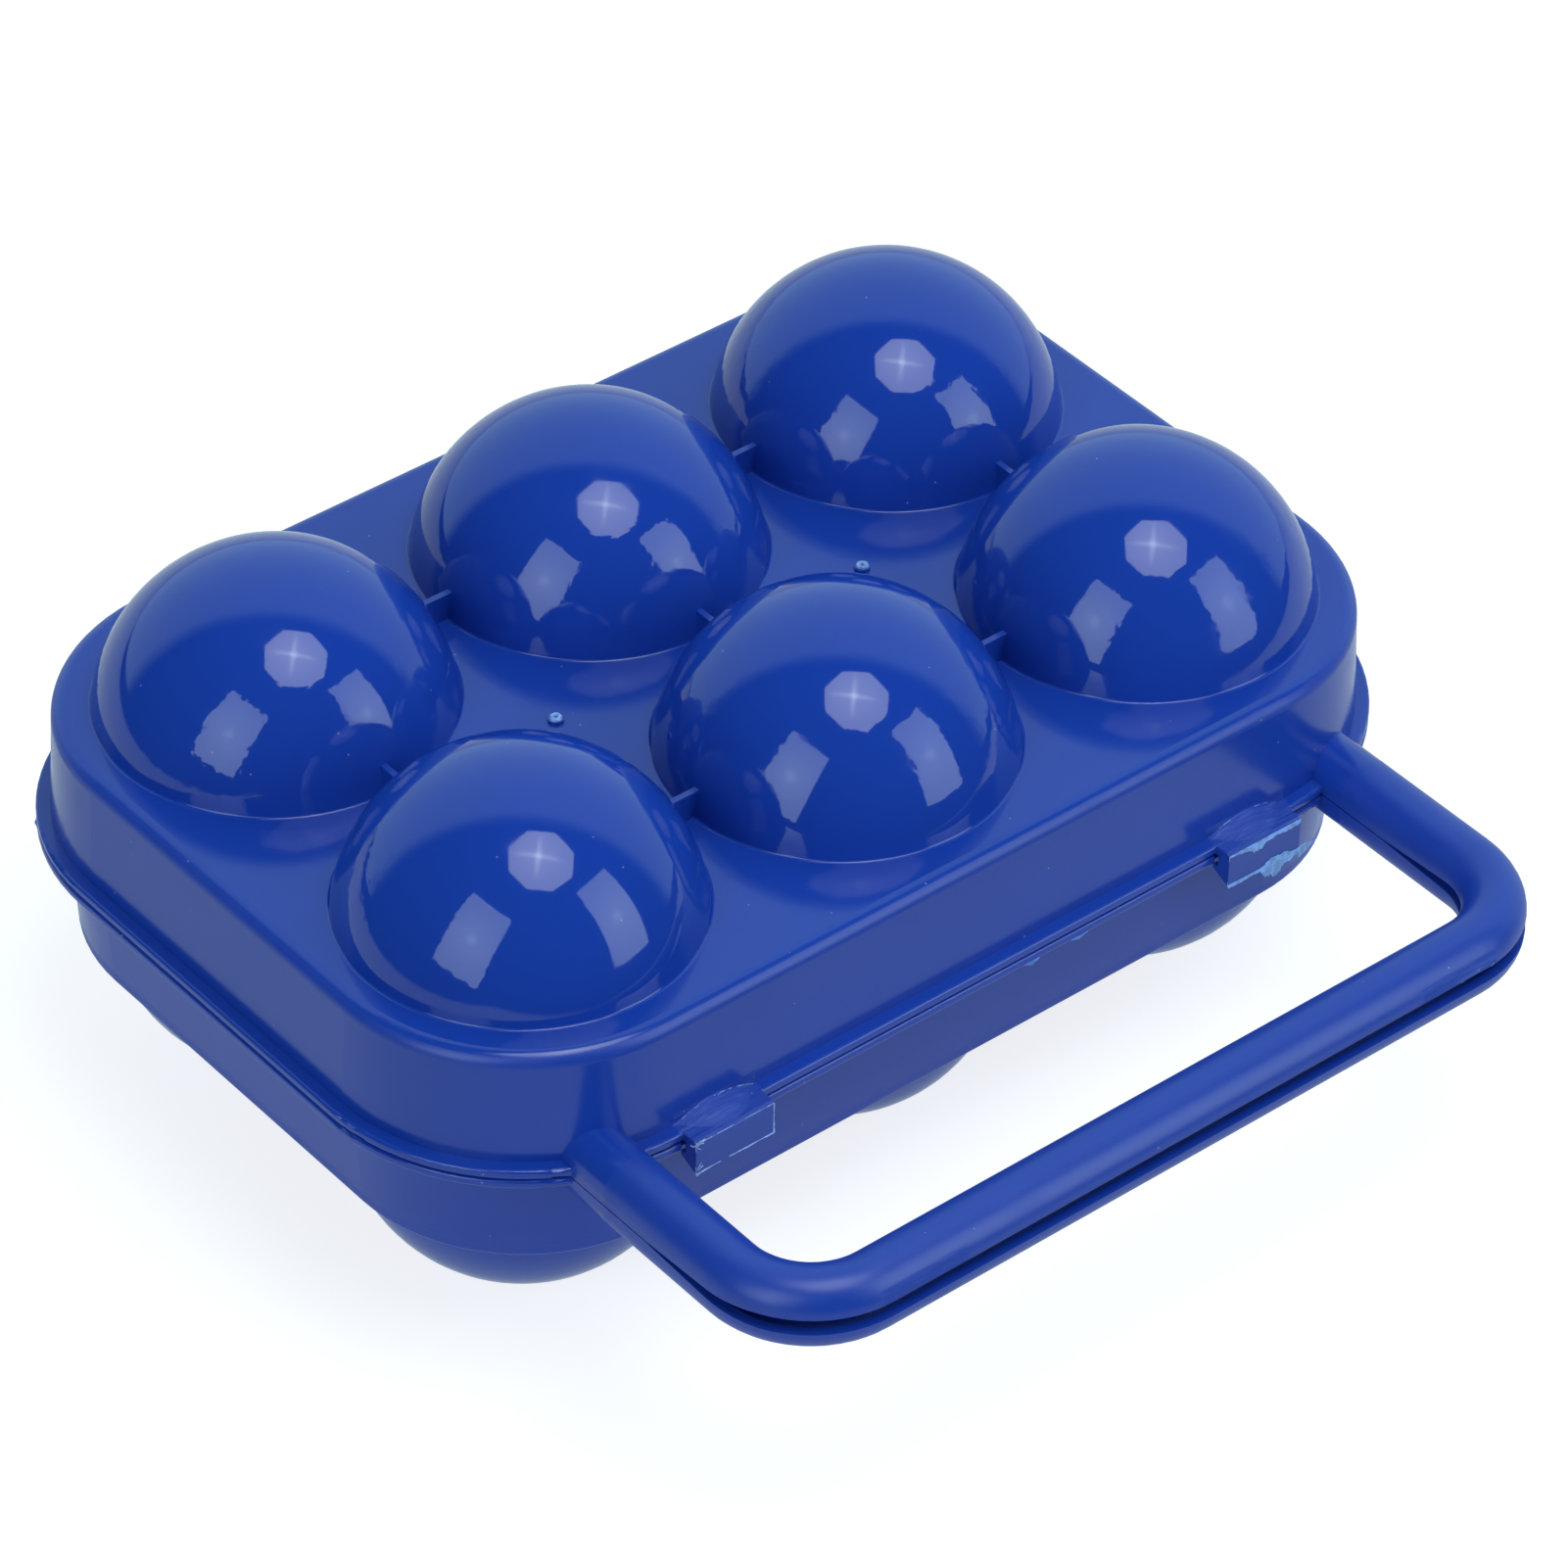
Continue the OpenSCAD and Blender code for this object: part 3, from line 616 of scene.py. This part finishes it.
def lamp(name, corners, colour, strength, middle, reach, star, ribs=()):
    """A lamp's glowing front: a flat shape that lights the box and shows in its gloss, but not to the camera.
    It is brightest at its middle, where the tube sits behind the cloth, and dimmest at the distance reach.
    Star is how much brighter the tube is. Ribs are the directions that the bright lines through the middle
    are thin in."""
    glow, swell, rib_glow = 0.86 * strength, 0.26 * strength, 0.55 * strength
    tube_r, rib_half, rib_start, rib_end = 0.22 * reach, 0.12 * reach, 0.1 * reach, 0.9 * reach
    mesh = bpy.data.meshes.new(name)
    mesh.from_pydata([tuple(c) for c in corners], [], [tuple(range(len(corners)))])
    material, tree = new_material(name)
    place = node(tree, "ShaderNodeNewGeometry", give="Position")
    offset = node(tree, "ShaderNodeVectorMath", {0: place, 1: middle}, operation="SUBTRACT")
    away = node(tree, "ShaderNodeVectorMath", {0: offset}, operation="LENGTH")
    shares = [mask(tree, (away, reach, 0.0), most=swell),
              mask(tree, (away, tube_r, 0.0), most=star * strength)]
    for rib in ribs:
        across = node(tree, "ShaderNodeVectorMath", {0: offset, 1: rib}, operation="DOT_PRODUCT")
        beside = node(tree, "ShaderNodeMath", {0: across}, operation="ABSOLUTE")
        shares.append(mask(tree, (beside, rib_half, 0.0), (away, rib_end, rib_start), most=rib_glow))
    for share in shares:
        glow = node(tree, "ShaderNodeMath", {0: glow, 1: share}, operation="ADD")
    light = node(tree, "ShaderNodeEmission", {"Color": rgba(colour), "Strength": glow})
    node(tree, "ShaderNodeOutputMaterial", {"Surface": light})
    front = bpy.data.objects.new(name, mesh)
    mesh.materials.append(material)
    bpy.context.scene.collection.objects.link(front)
    front.visible_camera = False
    front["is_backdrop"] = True


class EGGBOX_OT_studio(bpy.types.Operator):
    """Sets up the floor, the lamps, the white paper and the camera"""
    bl_idname = "eggbox.studio"
    bl_label = "Studio"

    def execute(self, context):
        studio = context.scene.egg_box_studio
        self.octagon(studio)
        self.upright_lamps(studio)
        self.floor(studio)
        self.paper(context, studio)
        self.camera(context)
        return {"FINISHED"}

    def octagon(self, studio):
        """The large lamp overhead, with the cross of bright lines that its frame makes."""
        aim, middle = Vector((0, 16, 54)) * MM, Vector((-2, -397, 1348)) * MM
        radius, first_corner = 480 * MM, 14
        tube = middle + Vector((0, 65, 18)) * MM
        facing = (aim - middle).to_track_quat("Z", "Y").to_matrix()
        corners = [middle + facing @ Vector((math.cos(a), math.sin(a), 0)) * radius
                   for a in (math.radians(first_corner + 45 * i) for i in range(8))]
        rib = (aim - middle).cross(Vector(AWAY)).normalized()
        ribs = (rib, rib.cross(aim - middle).normalized())
        lamp("octagon_lamp", corners, studio.key_tint, studio.key, tube, radius, star=0.4, ribs=ribs)

    def upright_lamps(self, studio):
        """Two tall lamps, one at the left of the box and one in front of it."""
        for name, middle, across, rise in (
                ("left_lamp", (-1488, -531, 781), (191, -878, -234), (596, -168, 1321)),
                ("front_lamp", (468, -924, 471), (482, 210, -74), (-133, 316, 973))):
            middle, across, rise = (Vector(v) * MM for v in (middle, across, rise))
            corners = [middle + across * i + rise * j
                       for i, j in ((-0.5, -0.5), (0.5, -0.5), (0.5, 0.5), (-0.5, 0.5))]
            lamp(name, corners, studio.side_tint, studio.side, middle, rise.length / 2, star=0.35)

    def floor(self, studio):
        """White paper, which the box reflects only as far as the edges of the table, at its left and in
        front. Most of its brightness doesn't depend on the light, so it stays white round a soft shadow."""
        half = 3000 * MM
        left_edge, front_edge = (-330 * MM, -280 * MM), (-210 * MM, -170 * MM)
        corners = [(-half, -half, 0), (half, -half, 0), (half, half, 0), (-half, half, 0)]
        mesh = bpy.data.meshes.new("floor")
        mesh.from_pydata(corners, [], [(0, 1, 2, 3)])
        material, tree = new_material("floor_paper")
        seen = node(tree, "ShaderNodeLightPath", give="Is Camera Ray")
        place = node(tree, "ShaderNodeNewGeometry", give="Position")
        x, y = node(tree, "ShaderNodeSeparateXYZ", {0: place}).node.outputs[:2]
        table = mask(tree, (x, *left_edge), (y, *front_edge))
        lit = node(tree, "ShaderNodeMath", {0: seen, 1: table}, operation="MAXIMUM")
        grey = node(tree, "ShaderNodeMath", {0: lit, 1: studio.floor_grey}, operation="MULTIPLY")
        paper = node(tree, "ShaderNodeBsdfDiffuse", {"Color": grey})
        felt = node(tree, "ShaderNodeMath", {0: table, 1: studio.felt_floor, 2: studio.room},
                    operation="MULTIPLY_ADD")
        lift = node(tree, "ShaderNodeMix", {0: seen, 2: felt, 3: studio.seen_floor})
        shade = node(tree, "ShaderNodeMix", {0: seen, 6: rgba(studio.floor_tint), 7: WHITE}, data_type="RGBA")
        glow = node(tree, "ShaderNodeEmission", {"Color": shade, "Strength": lift})
        both = node(tree, "ShaderNodeAddShader", {0: paper, 1: glow})
        node(tree, "ShaderNodeOutputMaterial", {"Surface": both})
        mesh.materials.append(material)
        ground = bpy.data.objects.new("floor", mesh)
        bpy.context.scene.collection.objects.link(ground)
        ground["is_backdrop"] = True

    def paper(self, context, studio):
        """White paper rises behind the box, on the far side from the camera; the rest of the room is dark.
        A direction meets the paper's edge where its share along AWAY is between edge and full."""
        edge, full = 0.17, 0.37
        world = bpy.data.worlds.new("studio")
        context.scene.world = world
        world.use_nodes = True
        tree = world.node_tree
        tree.nodes.clear()
        way = node(tree, "ShaderNodeTexCoord", give="Generated")
        behind = node(tree, "ShaderNodeVectorMath", {0: way, 1: AWAY}, operation="DOT_PRODUCT")
        white = mask(tree, (behind, edge, full), most=studio.paper - studio.room)
        bright = node(tree, "ShaderNodeMath", {0: white, 1: studio.room}, operation="ADD")
        seen = node(tree, "ShaderNodeLightPath", give="Is Camera Ray")
        shown = node(tree, "ShaderNodeMix", {0: seen, 2: bright, 3: 1.0})
        shade = node(tree, "ShaderNodeMix", {0: seen, 6: rgba(studio.paper_tint), 7: WHITE}, data_type="RGBA")
        back = node(tree, "ShaderNodeBackground", {"Color": shade, "Strength": shown})
        node(tree, "ShaderNodeOutputWorld", {"Surface": back})

    def camera(self, context):
        """A long lens that looks down on the box from its front left."""
        place = Vector((-481.207, -568.316, 659.787)) * MM
        turn, rise, roll = math.radians(-40.207), math.radians(39.726), math.radians(1.274)
        back = Vector((math.sin(turn) * math.cos(rise), -math.cos(turn) * math.cos(rise), math.sin(rise)))
        right = Vector((math.cos(turn), math.sin(turn), 0))
        up = back.cross(right)
        rolled = math.cos(roll) * right + math.sin(roll) * up
        upright = back.cross(rolled)
        data = bpy.data.cameras.new("camera")
        data.lens = 171.932
        data.sensor_width = 36
        eye = bpy.data.objects.new("camera", data)
        context.scene.collection.objects.link(eye)
        eye.matrix_world = Matrix.Translation(place) @ Matrix((rolled, upright, back)).transposed().to_4x4()
        context.scene.camera = eye


CLASSES = (
    EggBoxForm,
    EggBoxFinish,
    EggBoxStudio,
    EGGBOX_OT_mouldings,
    EGGBOX_OT_foot_fillets,
    EGGBOX_OT_gate_rings,
    EGGBOX_OT_flash,
    EGGBOX_OT_studio,
)
OPERATORS = [c for c in CLASSES if issubclass(c, bpy.types.Operator)]


class EGGBOX_PT_panel(bpy.types.Panel):
    """Lists the steps that dress the egg box"""
    bl_idname = "EGGBOX_PT_panel"
    bl_label = "Egg box"
    bl_space_type = "VIEW_3D"
    bl_region_type = "UI"
    bl_category = "Egg box"

    def draw(self, context):
        scene = context.scene
        for group in (scene.egg_box_form, scene.egg_box_finish, scene.egg_box_studio):
            box = self.layout.box()
            for name in group.__annotations__:
                box.prop(group, name)
        for operator in OPERATORS:
            self.layout.operator(operator.bl_idname)


def register():
    """Registers the classes and gives the scene its three groups of settings."""
    for c in (*CLASSES, EGGBOX_PT_panel):
        bpy.utils.register_class(c)
    bpy.types.Scene.egg_box_form = bpy.props.PointerProperty(type=EggBoxForm)
    bpy.types.Scene.egg_box_finish = bpy.props.PointerProperty(type=EggBoxFinish)
    bpy.types.Scene.egg_box_studio = bpy.props.PointerProperty(type=EggBoxStudio)


def unregister():
    """Takes back what register did."""
    del bpy.types.Scene.egg_box_studio
    del bpy.types.Scene.egg_box_finish
    del bpy.types.Scene.egg_box_form
    for c in (EGGBOX_PT_panel, *reversed(CLASSES)):
        bpy.utils.unregister_class(c)


def plain(bounds):
    """A box's corners as plain lists of numbers."""
    return [[float(v) for v in corner] for corner in bounds]


def main():
    """Runs the steps in order, and measures the box of the bare mouldings and that of the dressed ones."""
    cad_box = plain(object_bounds())
    register()
    bpy.context.scene.view_settings.view_transform = "Standard"
    for operator in OPERATORS:
        group, name = operator.bl_idname.split(".")
        getattr(getattr(bpy.ops, group), name)()
    {"cad": cad_box, "visual": plain(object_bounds())}


if __name__ == "__main__":
    main()
